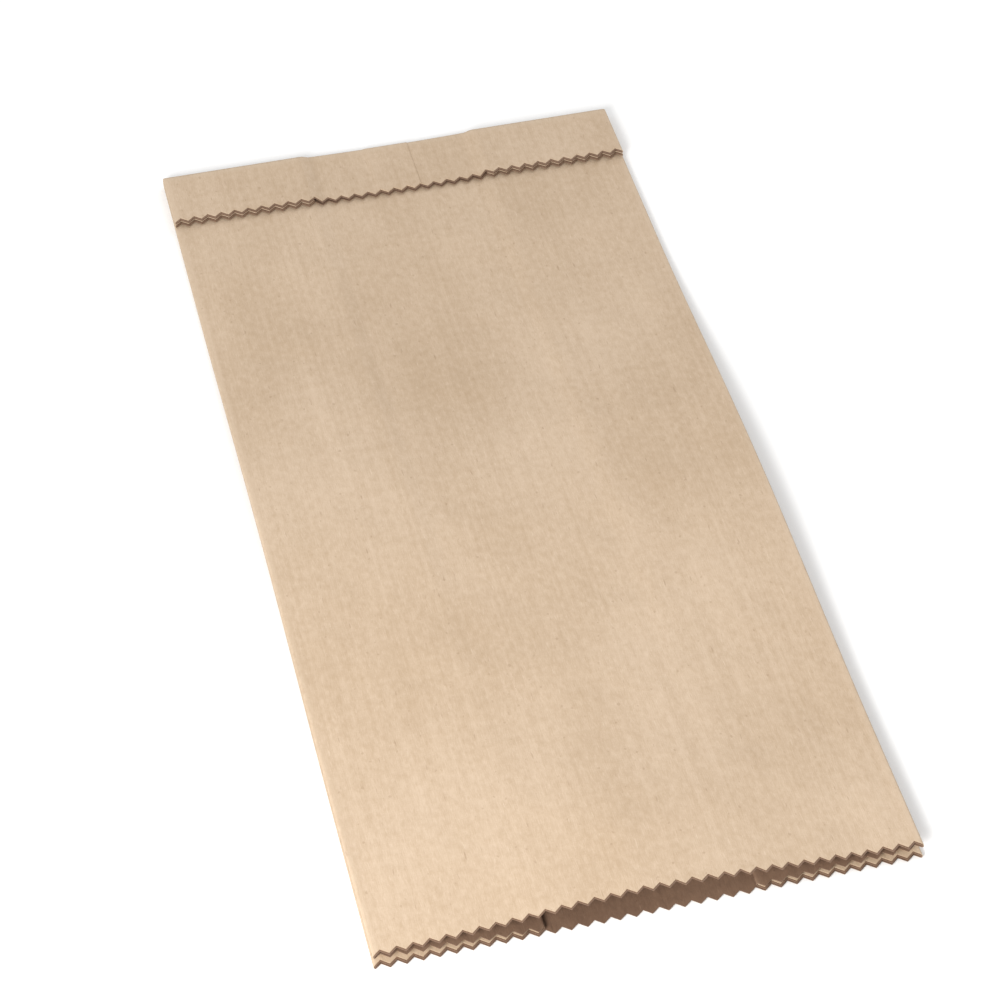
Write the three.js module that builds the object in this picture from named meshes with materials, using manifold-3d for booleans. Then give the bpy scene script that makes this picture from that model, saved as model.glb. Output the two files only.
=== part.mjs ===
// Lined paper bag, folded flat. A kraft tube with side gussets and a lapped seam holds a second
// paper tube as its lining. Both are cut with toothed edges and folded over together at the bottom.
// Millimetres. The bag lies on its front panel: +Y runs from the mouth to the bottom fold, +Z is up.
import * as THREE from "three";
import { mergeVertices } from "three/addons/utils/BufferGeometryUtils.js";
import Module from "manifold-3d";

const wasm = await Module();
wasm.setup();

// Size of the flat bag
const BAG_WIDTH = 130;
const BAG_LENGTH = 280;
const GUSSET_DEPTH = 40;
const FLAP_LENGTH = 22;

// Paper
const OUTER_PLY = 0.16;
const LINING_PLY = 0.14;
const PLY_CLEARANCE = 0.05;
const SEAM_WIDTH = 12;
const SEAM_EDGE = 0.1;

// How far the pressed plies have sprung apart again, at the bottom and at the mouth
const INNER_GAP_BOTTOM = 0.08;
const INNER_GAP_MOUTH = 0.5;
const GUSSET_SLIT_BOTTOM = 0.12;
const GUSSET_SLIT_MOUTH = 0.4;
const GUSSET_SPREAD_MOUTH = 2;
const FLAP_GAP = 0.2;

// Soft shape: the back panel dips between the gussets and lifts at the mouth, the length arches
const CENTRE_DIP = 0.7;
const MOUTH_LIFT = 4.2;
const MOUTH_LIFT_LENGTH = 120;
const ARCH_HEIGHT = 3.4;
const MOUTH_FLAT_LENGTH = 34;
const BOTTOM_FLAT_LENGTH = 52;

// Toothed cut, which leaves the lining a little longer than the kraft paper
const TOOTH_COUNT = 34;
const TOOTH_DEPTH = 1.5;
const LINING_SHOW = 0.45;
const CUT_ALLOWANCE = 1.2;
const CUTTER_TOP = 40;
const CUTTER_MARGIN = 2;

// Facets
const PANEL_SIDE_STEPS = 2;
const PANEL_CENTRE_STEPS = 3;
const FOLD_STEPS = 4;
const BOTTOM_FOLD_STEPS = 6;
const ARCH_STATIONS = 11;
const LIFT_STATIONS = 3;

const halfWidth = BAG_WIDTH / 2;
const mouthY = -BAG_LENGTH / 2;
const bottomY = BAG_LENGTH / 2;
const gussetEdge = halfWidth - GUSSET_DEPTH;
const wall = OUTER_PLY + PLY_CLEARANCE + LINING_PLY;
const archStart = mouthY + MOUTH_FLAT_LENGTH;
const archEnd = bottomY - BOTTOM_FLAT_LENGTH;
const seamHeight = OUTER_PLY;

// 0 at or before the start, 1 at or past the end, with no corner at either
function ease(value, start, end) {
  const share = THREE.MathUtils.clamp((value - start) / (end - start), 0, 1);
  return share * share * (3 - 2 * share);
}

// 1 in the middle, falling smoothly to 0 at this distance and staying there
function hump(distance, reach) {
  const share = Math.min(Math.abs(distance) / reach, 1);
  return Math.cos((share * Math.PI) / 2) ** 2;
}

// Height of the arch that the bag keeps along its length
function archHeight(y) {
  const middle = (archStart + archEnd) / 2;
  return ARCH_HEIGHT * hump(y - middle, (archEnd - archStart) / 2);
}

// Heights of the folded stack above the front panel's outer face, at one place along the length
function stackAt(y) {
  const openness = 1 - ease(y, mouthY, archEnd);
  const innerGap = THREE.MathUtils.lerp(INNER_GAP_BOTTOM, INNER_GAP_MOUTH, openness);
  const slit = THREE.MathUtils.lerp(GUSSET_SLIT_BOTTOM, GUSSET_SLIT_MOUTH, openness);
  const foldRadius = wall + innerGap / 2;
  const lower = 2 * foldRadius;
  const lift = MOUTH_LIFT * (1 - ease(y, mouthY, mouthY + MOUTH_LIFT_LENGTH));
  const dip = CENTRE_DIP * ease(y, mouthY, archEnd);
  const upper = lower + slit + GUSSET_SPREAD_MOUTH * openness ** 2;
  return { slit, foldRadius, lower, upper, top: upper + lower, lift, dip };
}

// Height of the back panel's outer face
function backPanelHeight(x, stack) {
  return stack.top + stack.lift * hump(x, halfWidth) - stack.dip * hump(x, gussetEdge);
}

// The seam laps the front panel's outer face: its corners, each with the paper added there
function seamCorners() {
  const half = SEAM_WIDTH / 2;
  const corner = (x, lap) => ({ x, z: 0, inX: 0, inZ: 1, lap });
  return [corner(-half, 0), corner(SEAM_EDGE - half, OUTER_PLY), corner(0, OUTER_PLY),
    corner(half - SEAM_EDGE, OUTER_PLY), corner(half, 0)];
}

// Points round a fold, each with the direction from the paper's outer face into the bag
function foldArc(centreX, centreZ, radius, fromAngle, toAngle, inwards) {
  const points = [];
  for (let step = 0; step <= FOLD_STEPS; step += 1) {
    const angle = THREE.MathUtils.lerp(fromAngle, toAngle, step / FOLD_STEPS);
    const cos = Math.cos(angle);
    const sin = Math.sin(angle);
    points.push({
      x: centreX + radius * cos,
      z: centreZ + radius * sin,
      inX: inwards * cos,
      inZ: inwards * sin,
    });
  }
  return points;
}

// Places across a panel, from just inside its right side fold to just inside its left one
function panelColumns(foldX) {
  const side = [];
  for (let step = 1; step <= PANEL_SIDE_STEPS; step += 1) {
    side.push(THREE.MathUtils.lerp(foldX, gussetEdge, step / PANEL_SIDE_STEPS));
  }
  for (let step = 1; step < PANEL_CENTRE_STEPS; step += 1) {
    side.push(gussetEdge * (1 - step / PANEL_CENTRE_STEPS));
  }
  return [...side, 0, ...side.map((x) => -x).reverse()];
}

// The bag's outer face in section: front panel, gussets and back panel, as one closed loop
function sectionLoop(y) {
  const stack = stackAt(y);
  const { foldRadius, slit, lower, upper } = stack;
  const quarter = Math.PI / 2;
  const foldX = halfWidth - foldRadius;
  const gussetX = gussetEdge + wall + slit / 2;
  const right = [
    ...foldArc(foldX, foldRadius, foldRadius, -quarter, quarter, -1),
    ...foldArc(gussetX, lower + slit / 2, slit / 2, 3 * quarter, quarter, 1),
    ...foldArc(foldX, upper + foldRadius, foldRadius, -quarter, quarter, -1),
  ];
  const left = right.map((p) => ({ ...p, x: -p.x, inX: -p.inX })).reverse();
  const columns = panelColumns(foldX);
  const besideSeam = columns.filter((x) => Math.abs(x) > SEAM_WIDTH / 2);
  const front = [...besideSeam.map((x) => ({ x: -x, z: 0, inX: 0, inZ: 1 })), ...seamCorners()];
  front.sort((p, q) => p.x - q.x);
  const back = columns.map((x) => ({ x, z: backPanelHeight(x, stack), inX: 0, inZ: -1 }));
  return [...front, ...right, ...back, ...left];
}

// Height of the axis that the bottom is folded about
function foldAxisHeight(x) {
  return backPanelHeight(x, stackAt(bottomY)) + FLAP_GAP / 2;
}

// Stations from the mouth, over the arch, round the bottom fold and to the flap's free edge
function bagStations() {
  const stations = [{ y: mouthY - CUT_ALLOWANCE }];
  for (let step = 1; step <= LIFT_STATIONS; step += 1) {
    stations.push({ y: mouthY + (MOUTH_FLAT_LENGTH * step) / LIFT_STATIONS });
  }
  for (let step = 1; step <= ARCH_STATIONS; step += 1) {
    stations.push({ y: THREE.MathUtils.lerp(archStart, archEnd, step / ARCH_STATIONS) });
  }
  for (let step = 0; step <= BOTTOM_FOLD_STEPS; step += 1) {
    stations.push({ y: bottomY, turn: (Math.PI * step) / BOTTOM_FOLD_STEPS });
  }
  stations.push({ y: bottomY, turn: Math.PI, flapEnd: bottomY - FLAP_LENGTH - CUT_ALLOWANCE });
  return stations;
}

// Where a point of the section lies once the bag is arched and its bottom is folded over
function placePoint(station, x, z) {
  if (station.turn === undefined) {
    return [x, station.y, seamHeight + z + archHeight(station.y)];
  }
  const axisZ = foldAxisHeight(x);
  const axisY = bottomY - seamHeight - axisZ;
  const radius = axisZ - z;
  const y = station.flapEnd ?? axisY + radius * Math.sin(station.turn);
  return [x, y, seamHeight + axisZ - radius * Math.cos(station.turn)];
}

// One face of a ply, at a depth below the bag's outer face, as a ring of points for each station
function plyRings(depth) {
  return bagStations().map((station) =>
    sectionLoop(station.y).map((p) => {
      const lap = depth === 0 ? (p.lap ?? 0) : 0;
      return placePoint(station, p.x + p.inX * depth, p.z + p.inZ * depth - lap);
    }),
  );
}

function solidFrom(positions, triangles) {
  const geometry = new THREE.BufferGeometry();
  geometry.setAttribute("position", new THREE.Float32BufferAttribute(positions.flat(), 3));
  geometry.setIndex(triangles.flat());
  const merged = mergeVertices(geometry, 1e-4);
  const mesh = new wasm.Mesh({
    numProp: 3,
    vertProperties: new Float32Array(merged.getAttribute("position").array),
    triVerts: new Uint32Array(merged.getIndex().array),
  });
  return new wasm.Manifold(mesh);
}

// A tube of paper with open ends, between an outer and an inner face
function plyTube(outerRings, innerRings) {
  const columns = outerRings[0].length;
  const last = outerRings.length - 1;
  const positions = [...outerRings.flat(), ...innerRings.flat()];
  const innerStart = outerRings.length * columns;
  const triangles = [];
  for (let column = 0; column < columns; column += 1) {
    const next = (column + 1) % columns;
    for (let row = 0; row < last; row += 1) {
      const [a, b] = [row * columns + column, row * columns + next];
      const [d, c] = [a + columns, b + columns];
      triangles.push([a, d, c], [a, c, b]);
      triangles.push([a, c, d].map((i) => i + innerStart), [a, b, c].map((i) => i + innerStart));
    }
    const [p, q] = [last * columns + column, last * columns + next];
    triangles.push([column, next, innerStart + next], [column, innerStart + next, innerStart + column]);
    triangles.push([p, innerStart + p, innerStart + q], [p, innerStart + q, q]);
  }
  return solidFrom(positions, triangles);
}

// A block with a toothed side, which takes off what lies from its teeth to its far side
function toothedCutter(tipY, floorHeight) {
  const farY = tipY - CUT_ALLOWANCE - CUTTER_MARGIN;
  const pitch = BAG_WIDTH / TOOTH_COUNT;
  const corners = [];
  for (let half = -2; half <= 2 * TOOTH_COUNT + 2; half += 1) {
    const x = -halfWidth + (half * pitch) / 2;
    const y = tipY + (half % 2 === 0 ? 0 : TOOTH_DEPTH);
    const low = floorHeight(x);
    corners.push([x, farY, low], [x, y, low], [x, y, CUTTER_TOP], [x, farY, CUTTER_TOP]);
  }
  const triangles = [
    [0, 2, 1],
    [0, 3, 2],
  ];
  const end = corners.length - 4;
  for (let start = 0; start < end; start += 4) {
    for (let side = 0; side < 4; side += 1) {
      const a = start + side;
      const b = start + ((side + 1) % 4);
      triangles.push([a, b, b + 4], [a, b + 4, a + 4]);
    }
  }
  triangles.push([end, end + 1, end + 2], [end, end + 2, end + 3]);
  return solidFrom(corners, triangles);
}

// One ply of the bag, from its outer face's depth to its inner face's, with both ends toothed
function bagPly(name, outerDepth, thickness, cutBack, material) {
  const mouthCutter = toothedCutter(mouthY + cutBack, () => -CUTTER_MARGIN);
  const flapCutter = toothedCutter(
    bottomY - FLAP_LENGTH + cutBack,
    (x) => seamHeight + foldAxisHeight(x),
  );
  const tube = plyTube(plyRings(outerDepth), plyRings(outerDepth + thickness));
  const cut = tube.subtract(mouthCutter).subtract(flapCutter).getMesh();
  const geometry = new THREE.BufferGeometry();
  geometry.setAttribute("position", new THREE.BufferAttribute(cut.vertProperties, 3));
  geometry.setIndex(new THREE.BufferAttribute(cut.triVerts, 1));
  geometry.computeVertexNormals();
  const mesh = new THREE.Mesh(geometry, material);
  mesh.name = name;
  return mesh;
}

const kraftPaper = new THREE.MeshStandardMaterial({ color: 0xdcb98e, roughness: 0.85, metalness: 0 });
const liningPaper = new THREE.MeshStandardMaterial({ color: 0x6f5440, roughness: 0.8, metalness: 0 });

const bag = new THREE.Group();
bag.add(bagPly("outer_bag", 0, OUTER_PLY, LINING_SHOW, kraftPaper));
bag.add(bagPly("inner_lining", OUTER_PLY + PLY_CLEARANCE, LINING_PLY, 0, liningPaper));

export default bag;
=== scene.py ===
"""Lined paper bag, folded flat: the looks of both plies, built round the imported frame.

Metres. The bag lies on its front panel, +Y runs from the mouth to the bottom fold, +Z is up.
"""
import math

import bpy
import numpy as np
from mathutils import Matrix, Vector, noise


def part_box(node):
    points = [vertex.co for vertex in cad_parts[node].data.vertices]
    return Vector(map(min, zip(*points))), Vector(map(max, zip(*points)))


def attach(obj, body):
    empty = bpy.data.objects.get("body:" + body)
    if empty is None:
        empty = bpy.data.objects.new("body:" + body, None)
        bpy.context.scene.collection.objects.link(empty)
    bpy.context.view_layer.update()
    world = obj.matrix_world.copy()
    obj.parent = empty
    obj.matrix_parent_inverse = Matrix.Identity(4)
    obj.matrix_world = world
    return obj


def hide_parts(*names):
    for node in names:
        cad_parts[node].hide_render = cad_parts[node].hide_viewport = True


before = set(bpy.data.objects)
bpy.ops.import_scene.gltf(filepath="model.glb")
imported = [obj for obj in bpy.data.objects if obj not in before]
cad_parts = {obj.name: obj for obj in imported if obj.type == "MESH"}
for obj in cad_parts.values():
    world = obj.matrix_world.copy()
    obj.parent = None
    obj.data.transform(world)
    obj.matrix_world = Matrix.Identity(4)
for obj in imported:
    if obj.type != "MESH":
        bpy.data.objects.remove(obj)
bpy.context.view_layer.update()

MM = 0.001
QUARTER_TURN = math.pi / 2

# The frame gives the flat bag's size, and the lining reaches furthest at the mouth
bag_low, bag_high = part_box("outer_bag")
BAG_WIDTH = bag_high.x - bag_low.x
HALF_WIDTH = BAG_WIDTH / 2
MOUTH_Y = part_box("inner_lining")[0].y
BOTTOM_Y = bag_high.y

# Folded form, as in the solids
GUSSET_DEPTH = 40 * MM
GUSSET_EDGE = HALF_WIDTH - GUSSET_DEPTH
FLAP_LENGTH = 22 * MM
FLAP_EDGE_Y = BOTTOM_Y - FLAP_LENGTH
OUTER_PLY = 0.16 * MM
LINING_PLY = 0.14 * MM
PLY_CLEARANCE = 0.05 * MM
WALL = OUTER_PLY + PLY_CLEARANCE + LINING_PLY
SEAM_WIDTH = 12 * MM
SEAM_EDGE = 0.1 * MM
SEAM_HEIGHT = OUTER_PLY
INNER_GAP_BOTTOM = 0.08 * MM
INNER_GAP_MOUTH = 0.5 * MM
GUSSET_SLIT_BOTTOM = 0.12 * MM
GUSSET_SLIT_MOUTH = 0.4 * MM
GUSSET_SPREAD_MOUTH = 2 * MM
FLAP_GAP = 0.2 * MM
CENTRE_DIP = 0.7 * MM
MOUTH_LIFT = 4.2 * MM
MOUTH_LIFT_LENGTH = 120 * MM
ARCH_HEIGHT = 3.4 * MM
ARCH_START = MOUTH_Y + 34 * MM
ARCH_END = BOTTOM_Y - 52 * MM
TOOTH_COUNT = 34
TOOTH_DEPTH = 1.5 * MM
HALF_TOOTH = BAG_WIDTH / TOOTH_COUNT / 2
LINING_SHOW = 0.45 * MM

# Fineness of the meshes
ROW_STEP = 2.3 * MM
FOLD_STEPS = 8
BOTTOM_FOLD_STEPS = 14
TOOTH_ROWS = 3
LAST_FLAT_Y = BOTTOM_Y - 2 * MM
SHARP_ANGLE = math.radians(50)

# Columns of a section's points: place, way into the paper, on a fold, on the back, seam lap
X, Z, IN_X, IN_Z, ON_FOLD, ON_BACK, LAP = range(7)

# What a quad of a ply lies on
OUTER_FACE, INNER_FACE, MOUTH_CUT, FLAP_CUT = range(4)

# Bands of the map for baking, each a start and a height: the face that shows takes most of it
SHOWN_BAND = (0.0, 0.8)
HIDDEN_BAND = (0.81, 0.14)
CUT_BANDS = ((0.96, 0.015), (0.985, 0.015))

# Small unevenness that the solids leave out
SEAM_SLOPE = 1.5 * MM
GUSSET_PRINT = 2.4 * MM
SHOULDER_SHARE = 0.6
MOUTH_SETTLE = 0.6 * MM
CUT_STAGGER = 0.3 * MM
FLAP_STAGGER = 0.6 * MM
FLAP_EDGE_LIFT = 0.35 * MM
FLAP_LIFT_END = BOTTOM_Y - 6 * MM
RELIEF_HEIGHT = 0.28 * MM
RELIEF_END = BOTTOM_Y - 26 * MM
BACK_FADE_START = HALF_WIDTH - 8 * MM
BACK_FADE_END = HALF_WIDTH - 1.5 * MM

# Waves of the paper: a base, and layers that are each a share, a size and a seed
WHOLE_BASE = 0.5
WHOLE_SWING = 0.5
WHOLE_WAVES = ((0.6, 60 * MM, 1.5), (0.4, 26 * MM, 7.5))
BACK_BASE = 0.4
BACK_WAVES = ((0.5, 22 * MM, 3.5), (0.5, 9 * MM, 5.5))
FLAP_BASE = 0.55
FLAP_WAVES = ((0.45, 30 * MM, 9.5),)

# Handling creases on the back panel, and a kink at the mouth
CREASE_SEED = 11
CREASE_COUNT = 11
CREASE_HEIGHT = 0.15 * MM
CREASE_WIDTH = 3.2 * MM
CREASE_FIELD = ((-40 * MM, -120 * MM), (40 * MM, 80 * MM))
CREASE_TURN = 0.45
CREASE_HALF_LENGTHS = (10 * MM, 30 * MM)
CREASE_SHARES = (0.35, 1.0)
MOUTH_KINK_X = -3 * MM
MOUTH_KINK_WIDTH = 2 * CREASE_WIDTH
MOUTH_KINK_HEIGHT = 0.3 * MM
MOUTH_KINK_LENGTH = 48 * MM


def ease(value, start, end):
    """0 at or before the start, 1 at or past the end, with no corner at either."""
    share = np.clip((value - start) / (end - start), 0, 1)
    return share * share * (3 - 2 * share)


def hump(distance, reach):
    """1 in the middle, falling smoothly to 0 at this distance."""
    share = np.minimum(np.abs(distance) / reach, 1)
    return np.cos(share * math.pi / 2) ** 2


def mix(low, high, share):
    return low + (high - low) * share


def noise_field(x, y, size, seed):
    """Smooth noise from -1 to 1 over the sheet, with features of about this size."""
    points = np.stack([x / size, y / size, np.full_like(x, seed)], axis=-1).reshape(-1, 3)
    values = [noise.noise(Vector(p)) for p in points]
    return np.array(values).reshape(x.shape)


def waves(x, y, layers):
    """Layers of noise over the sheet, added by their shares."""
    return sum(share * noise_field(x, y, size, seed) for share, size, seed in layers)


# The folded section


def stack_at(y):
    """Sizes of the folded stack at this place, its heights above the front panel's outer face."""
    openness = 1 - ease(y, MOUTH_Y, ARCH_END)
    slit = mix(GUSSET_SLIT_BOTTOM, GUSSET_SLIT_MOUTH, openness)
    radius = WALL + mix(INNER_GAP_BOTTOM, INNER_GAP_MOUTH, openness) / 2
    upper = 2 * radius + slit + GUSSET_SPREAD_MOUTH * openness**2
    return {
        "slit": slit,
        "radius": radius,
        "lower": 2 * radius,
        "upper": upper,
        "top": upper + 2 * radius,
        "lift": MOUTH_LIFT * (1 - ease(y, MOUTH_Y, MOUTH_Y + MOUTH_LIFT_LENGTH)),
        "dip": CENTRE_DIP * ease(y, MOUTH_Y, ARCH_END),
    }


def back_panel_height(x, stack):
    """Height of the back panel's outer face, with a shoulder where each gusset ends below it."""
    across = np.minimum(np.abs(x) / GUSSET_EDGE, 1)
    shoulder = 1 - ease(np.abs(x), GUSSET_EDGE - GUSSET_PRINT, GUSSET_EDGE)
    dip = SHOULDER_SHARE * shoulder + (1 - SHOULDER_SHARE) * (1 - across**2)
    return stack["top"] + stack["lift"] * hump(x, HALF_WIDTH) - stack["dip"] * dip


def section_points(x, z, in_x, in_z, on_fold=0.0, on_back=0.0, lap=0.0):
    return np.stack(np.broadcast_arrays(x, z, in_x, in_z, on_fold, on_back, lap), axis=1)


def fold_arc(centre_x, centre_z, radius, start, end, inwards):
    """A round fold. Inwards is the way into the paper: -1 to the arc's centre, 1 away from it."""
    angles = np.linspace(start, end, FOLD_STEPS + 1)
    cos, sin = np.cos(angles), np.sin(angles)
    x, z = centre_x + radius * cos, centre_z + radius * sin
    return section_points(x, z, inwards * cos, inwards * sin, on_fold=1.0)


def right_side(stack, teeth):
    """The two side folds on the right with the gusset between them, from the front to the back."""
    radius, slit = stack["radius"], stack["slit"]
    fold_x = HALF_WIDTH - radius
    gusset_x = GUSSET_EDGE + WALL + slit / 2
    gusset = teeth[teeth > GUSSET_EDGE + WALL + GUSSET_SLIT_MOUTH]
    rise = (gusset - gusset_x) / (fold_x - gusset_x)
    upper_half = mix(stack["lower"] + slit, stack["upper"], rise)
    inner_fold_z = stack["lower"] + slit / 2
    return np.concatenate([
        fold_arc(fold_x, radius, radius, -QUARTER_TURN, QUARTER_TURN, -1),
        section_points(gusset[::-1], stack["lower"], 0.0, -1.0),
        fold_arc(gusset_x, inner_fold_z, slit / 2, 3 * QUARTER_TURN, QUARTER_TURN, 1),
        section_points(gusset, upper_half, 0.0, 1.0),
        fold_arc(fold_x, stack["upper"] + radius, radius, -QUARTER_TURN, QUARTER_TURN, -1),
    ])


def mirrored(points):
    """The same points on the other side, in the other order."""
    other_side = points[::-1].copy()
    other_side[:, [X, IN_X]] *= -1
    return other_side


def front_panel(teeth):
    """The front panel, with a seam that ends in a crisp edge at +X and in a slope at -X."""
    seam = SEAM_WIDTH / 2
    corners = [-seam - SEAM_SLOPE, -seam - SEAM_SLOPE / 2, -seam, seam - SEAM_EDGE, seam]
    x = np.sort(np.concatenate([teeth, corners]))
    lap = ease(x, -seam - SEAM_SLOPE, -seam) * (x < seam - SEAM_EDGE / 2)
    return section_points(x, 0.0, 0.0, 1.0, lap=OUTER_PLY * lap)


def back_panel(stack, teeth):
    x = teeth[::-1]
    return section_points(x, back_panel_height(x, stack), 0.0, -1.0, on_back=1.0)


def section_loop(y):
    """The bag's outer face in section, as one closed loop of points."""
    stack = stack_at(y)
    teeth = np.arange(-TOOTH_COUNT + 1, TOOTH_COUNT) * HALF_TOOTH
    right = right_side(stack, teeth)
    return np.concatenate([front_panel(teeth), right, back_panel(stack, teeth), mirrored(right)])


# The sheet's unevenness and its cuts


def arch_height(y):
    middle = (ARCH_START + ARCH_END) / 2
    return ARCH_HEIGHT * hump(y - middle, (ARCH_END - ARCH_START) / 2)


def tooth(x):
    """How far the toothed cut lies behind its tips."""
    phase = np.mod((x + HALF_WIDTH) / HALF_TOOTH, 2)
    return TOOTH_DEPTH * (1 - np.abs(phase - 1))


def whole_relief(x, y):
    """A gentle cockle that all the plies share, gone where the bottom is pressed flat."""
    wave = WHOLE_BASE + WHOLE_SWING * waves(x, y, WHOLE_WAVES)
    return RELIEF_HEIGHT * wave * (1 - ease(y, ARCH_END, RELIEF_END))


def soft_creases():
    """Faint handling creases on the back panel: two ends each, and a share of the height."""
    rng = np.random.default_rng(CREASE_SEED)
    creases = []
    for _ in range(CREASE_COUNT):
        middle = rng.uniform(*CREASE_FIELD)
        angle = rng.normal(0, CREASE_TURN)
        half = rng.uniform(*CREASE_HALF_LENGTHS)
        reach = half * np.array([math.cos(angle), math.sin(angle)])
        creases.append((middle - reach, middle + reach, rng.uniform(*CREASE_SHARES)))
    return creases


CREASES = soft_creases()


def crease_relief(x, y):
    """Height of the creases, low ridges that fade towards both ends, and of the mouth's kink."""
    total = np.zeros_like(x)
    for start, end, share in CREASES:
        run = end - start
        along = ((x - start[0]) * run[0] + (y - start[1]) * run[1]) / run.dot(run)
        off = ((x - start[0]) * -run[1] + (y - start[1]) * run[0]) / np.linalg.norm(run)
        ridge = np.exp(-((off / CREASE_WIDTH) ** 2)) * hump(2 * along - 1, 1.0)
        total += CREASE_HEIGHT * share * ridge
    kink = np.exp(-(((x - MOUTH_KINK_X) / MOUTH_KINK_WIDTH) ** 2))
    return total + MOUTH_KINK_HEIGHT * kink * (1 - ease(y, MOUTH_Y, MOUTH_Y + MOUTH_KINK_LENGTH))


def back_relief(x, y):
    """The back panel's own unevenness, gone at its side folds and under the flap.

    Near the mouth the panel settles a little, which keeps the kink within the bag's height.
    """
    wave = BACK_BASE + waves(x, y, BACK_WAVES)
    cockle = RELIEF_HEIGHT * np.maximum(wave, 0) + crease_relief(x, y)
    sides = 1 - ease(np.abs(x), BACK_FADE_START, BACK_FADE_END)
    settled = MOUTH_SETTLE * (1 - ease(y, MOUTH_Y, ARCH_START)) * hump(x, HALF_WIDTH)
    return cockle * sides * (1 - ease(y, ARCH_END, RELIEF_END)) - settled


def flap_lift(x, y):
    """How far the flap's free edge has sprung up from the back panel."""
    uneven = FLAP_BASE + waves(x, y, FLAP_WAVES)
    return FLAP_EDGE_LIFT * uneven * (1 - ease(y, FLAP_EDGE_Y, FLAP_LIFT_END))


# The plies


def sheet_rows():
    """The rows of the sheet: a place along the bag, a turn of the bottom fold, or a flap run."""
    count = round((LAST_FLAT_Y - MOUTH_Y) / ROW_STEP)
    rows = [{"y": y} for y in np.linspace(MOUTH_Y, LAST_FLAT_Y, count + 1)[:-1]]
    rows += [{"turn": turn} for turn in np.linspace(0, math.pi, BOTTOM_FOLD_STEPS + 1)]
    flap_rows = round(FLAP_LENGTH / ROW_STEP)
    rows += [{"turn": math.pi, "flap": step / flap_rows} for step in range(1, flap_rows + 1)]
    return rows


def near_cut(rows_away):
    """1 on the cut row itself, falling to 0 over the rows that the teeth reach into."""
    return max(1 - rows_away / TOOTH_ROWS, 0)


def flat_row(x, z, y, on_back):
    """Places of a row between the mouth and the bottom fold."""
    ys = np.full_like(x, y)
    return ys, z + arch_height(y) + whole_relief(x, ys) + on_back * back_relief(x, ys)


def turned_row(x, z, turn, flap):
    """Places of a row that has gone round the bottom fold, and of the flap past it.

    The fold's axis dips with the back panel. Flap is the share of the flap's length, or None.
    """
    axis_z = back_panel_height(x, stack_at(BOTTOM_Y)) + FLAP_GAP / 2
    axis_y = BOTTOM_Y - SEAM_HEIGHT - axis_z
    radius = axis_z - z
    place_z = axis_z - radius * math.cos(turn)
    if flap is None:
        return axis_y + radius * math.sin(turn), place_z
    place_y = mix(axis_y, FLAP_EDGE_Y, flap)
    return place_y, place_z + flap_lift(x, place_y)


def ply_face(depth, recess):
    """One face of a ply as a grid of points, one row for each row of the sheet."""
    rows = sheet_rows()
    last = len(rows) - 1
    grid = []
    for index, row in enumerate(rows):
        y = row.get("y", BOTTOM_Y)
        loop = section_loop(y)
        x = loop[:, X] + loop[:, IN_X] * depth
        z = loop[:, Z] + loop[:, IN_Z] * depth
        if depth == 0:
            z = z - loop[:, LAP]
        level = np.clip(z / stack_at(y)["top"], 0, 1)
        if "turn" not in row:
            place_y, place_z = flat_row(x, z, y, loop[:, ON_BACK])
            cut = tooth(x) + recess + CUT_STAGGER * level
            place_y = place_y + near_cut(index) * cut
        else:
            place_y, place_z = turned_row(x, z, row["turn"], row.get("flap"))
            if "flap" in row:
                cut = tooth(x) + recess + FLAP_STAGGER * (1 - level)
                place_y = place_y + near_cut(last - index) * cut
        grid.append(np.stack([x, place_y, place_z + SEAM_HEIGHT], axis=1))
    return np.array(grid)


def ply_quads(rows, columns):
    """The quads of a ply, and what each lies on.

    Each corner is a column, a row and a face, 0 for the outer one and 1 for the inner.
    """
    quads, lies_on = [], []
    last = rows - 1
    for c in range(columns):
        for r in range(last):
            ring = [(c, r), (c, r + 1), (c + 1, r + 1), (c + 1, r)]
            quads.append([(*corner, 0) for corner in ring])
            quads.append([(*corner, 1) for corner in reversed(ring)])
            lies_on += [OUTER_FACE, INNER_FACE]
        quads.append([(c, 0, 0), (c + 1, 0, 0), (c + 1, 0, 1), (c, 0, 1)])
        quads.append([(c, last, 0), (c, last, 1), (c + 1, last, 1), (c + 1, last, 0)])
        lies_on += [MOUTH_CUT, FLAP_CUT]
    return np.array(quads), np.array(lies_on)


def lengths_along(points):
    """Distance along a run of points to each of them."""
    steps = np.linalg.norm(np.diff(points, axis=0), axis=1)
    return np.concatenate([[0], np.cumsum(steps)])


def add_map(mesh, name, u, v):
    values = np.stack([u, v], axis=-1).astype(np.float32)
    mesh.uv_layers.new(name=name).data.foreach_set("uv", values.ravel())


def add_sheet_maps(mesh, outer, quads, lies_on, bands):
    """Two maps of the flat sheet.

    "sheet" holds places on it in metres. "OFBake" is the same sheet laid out in a square, with
    each face and cut in its own band.
    """
    column, row, face = np.moveaxis(quads, -1, 0)
    section = outer[len(outer) // 2]
    side_column = np.argmax(section[:, 0])
    across = lengths_along(np.vstack([section, section[:1]]))
    along = lengths_along(outer[:, side_column])
    add_map(mesh, "sheet", across[column], along[row])
    on_face = np.isin(lies_on, (OUTER_FACE, INNER_FACE))[:, None]
    share = np.where(on_face, along[row] / along[-1], face)
    low, height = np.array(bands)[lies_on].T[:, :, None]
    add_map(mesh, "OFBake", across[column] / across[-1], low + height * share)


def mark_folds(mesh):
    """Marks the folds along the bag and the bottom fold, where the paper is painted paler: crease
    whitening together with a painted highlight on the fold edges.
    """
    turning = [0 < row.get("turn", 0) and "flap" not in row for row in sheet_rows()]
    on_fold = section_loop(0)[:, ON_FOLD]
    fold = np.maximum(on_fold[None, :], np.array(turning, float)[:, None])
    both_faces = np.tile(fold.ravel(), 2)
    mesh.attributes.new("fold", "FLOAT", "POINT").data.foreach_set("value", both_faces)


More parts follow.
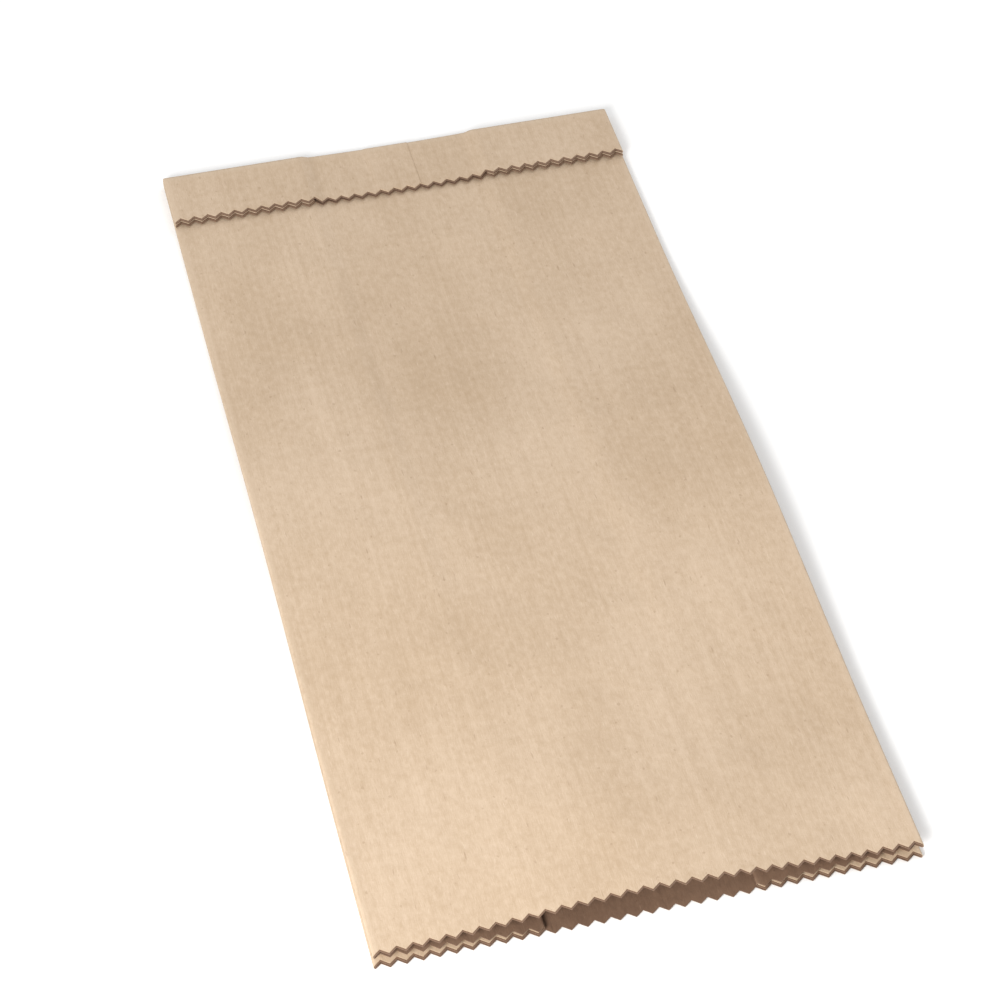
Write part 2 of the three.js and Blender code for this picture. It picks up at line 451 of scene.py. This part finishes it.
def make_ply(name, depth, thickness, recess, bands):
    """A tube of paper with open ends, its two faces joined along the toothed cuts."""
    outer = ply_face(depth, recess)
    inner = ply_face(depth + thickness, recess)
    rows, columns = outer.shape[:2]
    quads, lies_on = ply_quads(rows, columns)
    column, row, face = np.moveaxis(quads, -1, 0)
    corners = (face * rows + row) * columns + column % columns
    points = np.concatenate([outer.reshape(-1, 3), inner.reshape(-1, 3)])
    mesh = bpy.data.meshes.new(name)
    mesh.from_pydata(points.tolist(), [], corners.tolist())
    add_sheet_maps(mesh, outer, quads, lies_on, bands)
    mark_folds(mesh)
    mesh.shade_smooth()
    mesh.set_sharp_from_angle(angle=SHARP_ANGLE)
    piece = bpy.data.objects.new(name, mesh)
    bpy.context.scene.collection.objects.link(piece)
    return piece


# Paper materials


def linear(red, green, blue):
    """A colour given as it looks on screen, from 0 to 255, by the sRGB curve."""
    parts = [c / 255 for c in (red, green, blue)]
    return (*[p / 12.92 if p <= 0.04045 else ((p + 0.055) / 1.055) ** 2.4 for p in parts], 1.0)


# The pale fibre colour also paints the highlight and whitening along the folds
KRAFT = {
    "pale": linear(197, 176, 153),
    "deep": linear(172, 149, 123),
    "fleck": linear(129, 101, 76),
    "pale_fibre_and_fold_highlight": linear(210, 192, 170),
    "roughness": 0.72,
    "specular": 0.3,
    "bump": 0.06 * MM,
}
LINING = {
    "pale": linear(129, 103, 84),
    "deep": linear(103, 79, 63),
    "fleck": linear(65, 46, 36),
    "pale_fibre_and_fold_highlight": linear(152, 126, 105),
    "roughness": 0.55,
    "specular": 0.4,
    "bump": 0.03 * MM,
}

# Patterns in the paper: features per metre across and along the sheet, detail, and seed
PATTERNS = {
    "clouds": (30, 18, 3.0, 0.0),
    "formation": (520, 380, 4.0, 4.0),
    "streaks": (900, 9, 2.0, 8.0),
    "fibres": (4200, 520, 3.0, 12.0),
    "cross_fibres": (700, 3600, 2.0, 16.0),
    "dark_fibres": (1500, 210, 1.0, 21.0),
    "pale_fibres": (1900, 260, 1.0, 26.0),
    "specks": (900, 700, 0.0, 31.0),
}
NOISE_MIDDLE = 0.5
NOISE_ROUGHNESS = 0.55

# How much each pattern moves the tone, which runs from pale to deep over this reach both ways
TONE_WEIGHTS = {
    "clouds": 0.9,
    "formation": 0.75,
    "streaks": 0.5,
    "fibres": 0.8,
    "cross_fibres": 0.35,
}
TONE_REACH = 0.6

# Marks on top: a pattern, where it starts and is full, the colour that it brings, and how much
MARKS = (
    ("dark_fibres", 0.7, 0.8, "fleck", 0.3),
    ("pale_fibres", 0.68, 0.8, "pale_fibre_and_fold_highlight", 0.35),
    ("specks", 0.78, 0.84, "fleck", 0.25),
)
FOLD_WHITENING_AND_HIGHLIGHT_PATCHES = (0.35, 0.65)
FOLD_WHITENING_AND_HIGHLIGHT_SHARE = 0.35
FIBRE_HEIGHT = 0.5
DARK_FIBRE_HEIGHT = 0.4
ROUGHNESS_SWING = 0.25

# The Mix node's sockets for colours
MIX_SHARE, MIX_FIRST, MIX_SECOND = 0, 6, 7
MIX_RESULT = 2


class Nodes:
    """A short way to add shader nodes and join them."""

    def __init__(self, material):
        material.use_nodes = True
        self.tree = material.node_tree
        self.tree.nodes.clear()

    def feed(self, socket, value):
        """Joins a socket to another one, or sets it to a plain value."""
        if isinstance(value, bpy.types.NodeSocket):
            self.tree.links.new(value, socket)
        else:
            socket.default_value = value

    def add(self, kind, inputs=None, **settings):
        node = self.tree.nodes.new(kind)
        for key, value in settings.items():
            setattr(node, key, value)
        for key, value in (inputs or {}).items():
            self.feed(node.inputs[key], value)
        return node

    def maths(self, operation, *values):
        node = self.add("ShaderNodeMath", operation=operation)
        for socket, value in zip(node.inputs, values):
            self.feed(socket, value)
        return node.outputs[0]

    def centred(self, pattern):
        return self.maths("SUBTRACT", pattern, NOISE_MIDDLE)

    def stretched_noise(self, place, across, along, detail, seed):
        """Noise with this many features per metre across and along the sheet, from 0 to 1."""
        scaled = self.add("ShaderNodeMapping", {
            "Vector": place, "Scale": (across, along, 1.0), "Location": (seed, seed, seed)})
        node = self.add("ShaderNodeTexNoise", {
            "Vector": scaled.outputs[0], "Scale": 1.0, "Detail": detail,
            "Roughness": NOISE_ROUGHNESS})
        return node.outputs["Fac"]

    def ramp(self, value, low, high):
        """0 at or below low, 1 at or above high."""
        node = self.add("ShaderNodeMapRange", {
            "Value": value, "From Min": low, "From Max": high}, interpolation_type="SMOOTHSTEP")
        return node.outputs["Result"]

    def tint(self, colour, other, share):
        node = self.add("ShaderNodeMix", data_type="RGBA")
        self.feed(node.inputs[MIX_SHARE], share)
        self.feed(node.inputs[MIX_FIRST], colour)
        self.feed(node.inputs[MIX_SECOND], other)
        return node.outputs[MIX_RESULT]

    def surface(self, inputs):
        shader = self.add("ShaderNodeBsdfPrincipled", inputs)
        self.add("ShaderNodeOutputMaterial", {"Surface": shader.outputs[0]})


def paper_material(name, paper):
    """Uncoated paper: cloudy formation, long fibres, flecks, and folds painted a little paler,
    partly crease whitening and partly a painted highlight.
    """
    material = bpy.data.materials.new(name)
    n = Nodes(material)
    place = n.add("ShaderNodeUVMap", uv_map="sheet").outputs[0]
    pattern = {key: n.stretched_noise(place, *sizes) for key, sizes in PATTERNS.items()}
    tone = 0.0
    for key, weight in TONE_WEIGHTS.items():
        tone = n.maths("MULTIPLY_ADD", n.centred(pattern[key]), weight, tone)
    colour = n.tint(paper["pale"], paper["deep"], n.ramp(tone, -TONE_REACH, TONE_REACH))
    marks = {}
    for key, start, full, other, share in MARKS:
        marks[key] = n.ramp(pattern[key], start, full)
        colour = n.tint(colour, paper[other], n.maths("MULTIPLY", marks[key], share))

    # Folds painted paler: partly crease whitening, partly a painted highlight on the fold edges
    fold = n.add("ShaderNodeAttribute", attribute_name="fold").outputs["Fac"]
    fold_whitening_and_highlight = n.maths("MULTIPLY", fold, n.ramp(pattern["formation"], *FOLD_WHITENING_AND_HIGHLIGHT_PATCHES))
    colour = n.tint(colour, paper["pale_fibre_and_fold_highlight"], n.maths("MULTIPLY", fold_whitening_and_highlight, FOLD_WHITENING_AND_HIGHLIGHT_SHARE))

    height = n.maths("MULTIPLY_ADD", pattern["fibres"], FIBRE_HEIGHT, pattern["formation"])
    height = n.maths("MULTIPLY_ADD", marks["dark_fibres"], DARK_FIBRE_HEIGHT, height)
    relief = n.add("ShaderNodeBump", {
        "Height": height, "Distance": paper["bump"], "Strength": 1.0})
    roughness = n.maths(
        "MULTIPLY_ADD", n.centred(pattern["formation"]), ROUGHNESS_SWING, paper["roughness"])
    n.surface({
        "Base Color": colour, "Roughness": roughness, "Normal": relief.outputs[0],
        "Specular IOR Level": paper["specular"]})
    return material


def dress(piece, node, material):
    piece.data.materials.append(material)
    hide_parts(node)
    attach(piece, "root")


def make_bag():
    outer = make_ply(
        "kraft_ply", 0.0, OUTER_PLY, LINING_SHOW, (SHOWN_BAND, HIDDEN_BAND, *CUT_BANDS))
    inner = make_ply(
        "lining_ply", OUTER_PLY + PLY_CLEARANCE, LINING_PLY, 0.0,
        (HIDDEN_BAND, SHOWN_BAND, *CUT_BANDS))
    dress(outer, "outer_bag", paper_material("kraft_paper", KRAFT))
    dress(inner, "inner_lining", paper_material("lining_paper", LINING))


# Camera: the photograph's viewing angle, looking down on the bag
CAMERA_AZIMUTH = math.radians(-14)
CAMERA_ELEVATION = math.radians(46)
CAMERA_DISTANCE = 0.8
CAMERA_LENS = 112
CAMERA_SENSOR_WIDTH = 36
CAMERA_AIM = Vector((-0.002, -0.004, 0.0))


def make_camera():
    back = Vector((
        math.sin(CAMERA_AZIMUTH) * math.cos(CAMERA_ELEVATION),
        -math.cos(CAMERA_AZIMUTH) * math.cos(CAMERA_ELEVATION),
        math.sin(CAMERA_ELEVATION)))
    camera = bpy.data.objects.new("camera", bpy.data.cameras.new("camera"))
    camera.data.lens = CAMERA_LENS
    camera.data.sensor_width = CAMERA_SENSOR_WIDTH
    camera.location = CAMERA_AIM + back * CAMERA_DISTANCE
    camera.rotation_mode = "QUATERNION"
    camera.rotation_quaternion = (-back).to_track_quat("-Z", "Y")
    bpy.context.scene.collection.objects.link(camera)
    bpy.context.scene.camera = camera


# Studio: a plain pale floor under white light from all round, and two soft lights
FLOOR_REACH = 4.0
FLOOR = {
    "Base Color": (0.92, 0.92, 0.92, 1.0),
    "Roughness": 0.9,
    "Specular IOR Level": 0.1,
}
ALL_ROUND_COLOUR = (1.0, 1.0, 1.0, 1.0)
ALL_ROUND_STRENGTH = 0.74

# Soft lights: place, side of the square, watts and colour
SOFT_LIGHTS = {
    "key": ((-0.36, -0.52, 0.38), 0.25, 5.8, (1.0, 0.99, 0.97)),
    "fill": ((0.6, 0.7, 0.9), 0.9, 3.0, (1.0, 1.0, 1.0)),
}


def soft_light(name, place, size, watts, colour):
    """A square light that points at the middle of the bag."""
    light = bpy.data.lights.new(name, "AREA")
    light.shape = "SQUARE"
    light.size = size
    light.energy = watts
    light.color = colour
    lamp = bpy.data.objects.new(name, light)
    lamp.location = place
    lamp.rotation_mode = "QUATERNION"
    lamp.rotation_quaternion = (-Vector(place)).to_track_quat("-Z", "Y")
    bpy.context.scene.collection.objects.link(lamp)


def make_floor():
    mesh = bpy.data.meshes.new("floor")
    low, high = -FLOOR_REACH, FLOOR_REACH
    corners = [(low, low, 0), (high, low, 0), (high, high, 0), (low, high, 0)]
    mesh.from_pydata(corners, [], [(0, 1, 2, 3)])
    floor = bpy.data.objects.new("floor", mesh)
    bpy.context.scene.collection.objects.link(floor)
    pale = bpy.data.materials.new("floor_pale")
    Nodes(pale).surface(FLOOR)
    mesh.materials.append(pale)


def make_studio():
    make_floor()
    world = bpy.data.worlds.new("studio")
    bpy.context.scene.world = world
    world.use_nodes = True
    background = world.node_tree.nodes["Background"]
    background.inputs["Color"].default_value = ALL_ROUND_COLOUR
    background.inputs["Strength"].default_value = ALL_ROUND_STRENGTH
    for name, settings in SOFT_LIGHTS.items():
        soft_light(name, *settings)
    bpy.context.scene.view_settings.view_transform = "Standard"


make_bag()
make_camera()
make_studio()
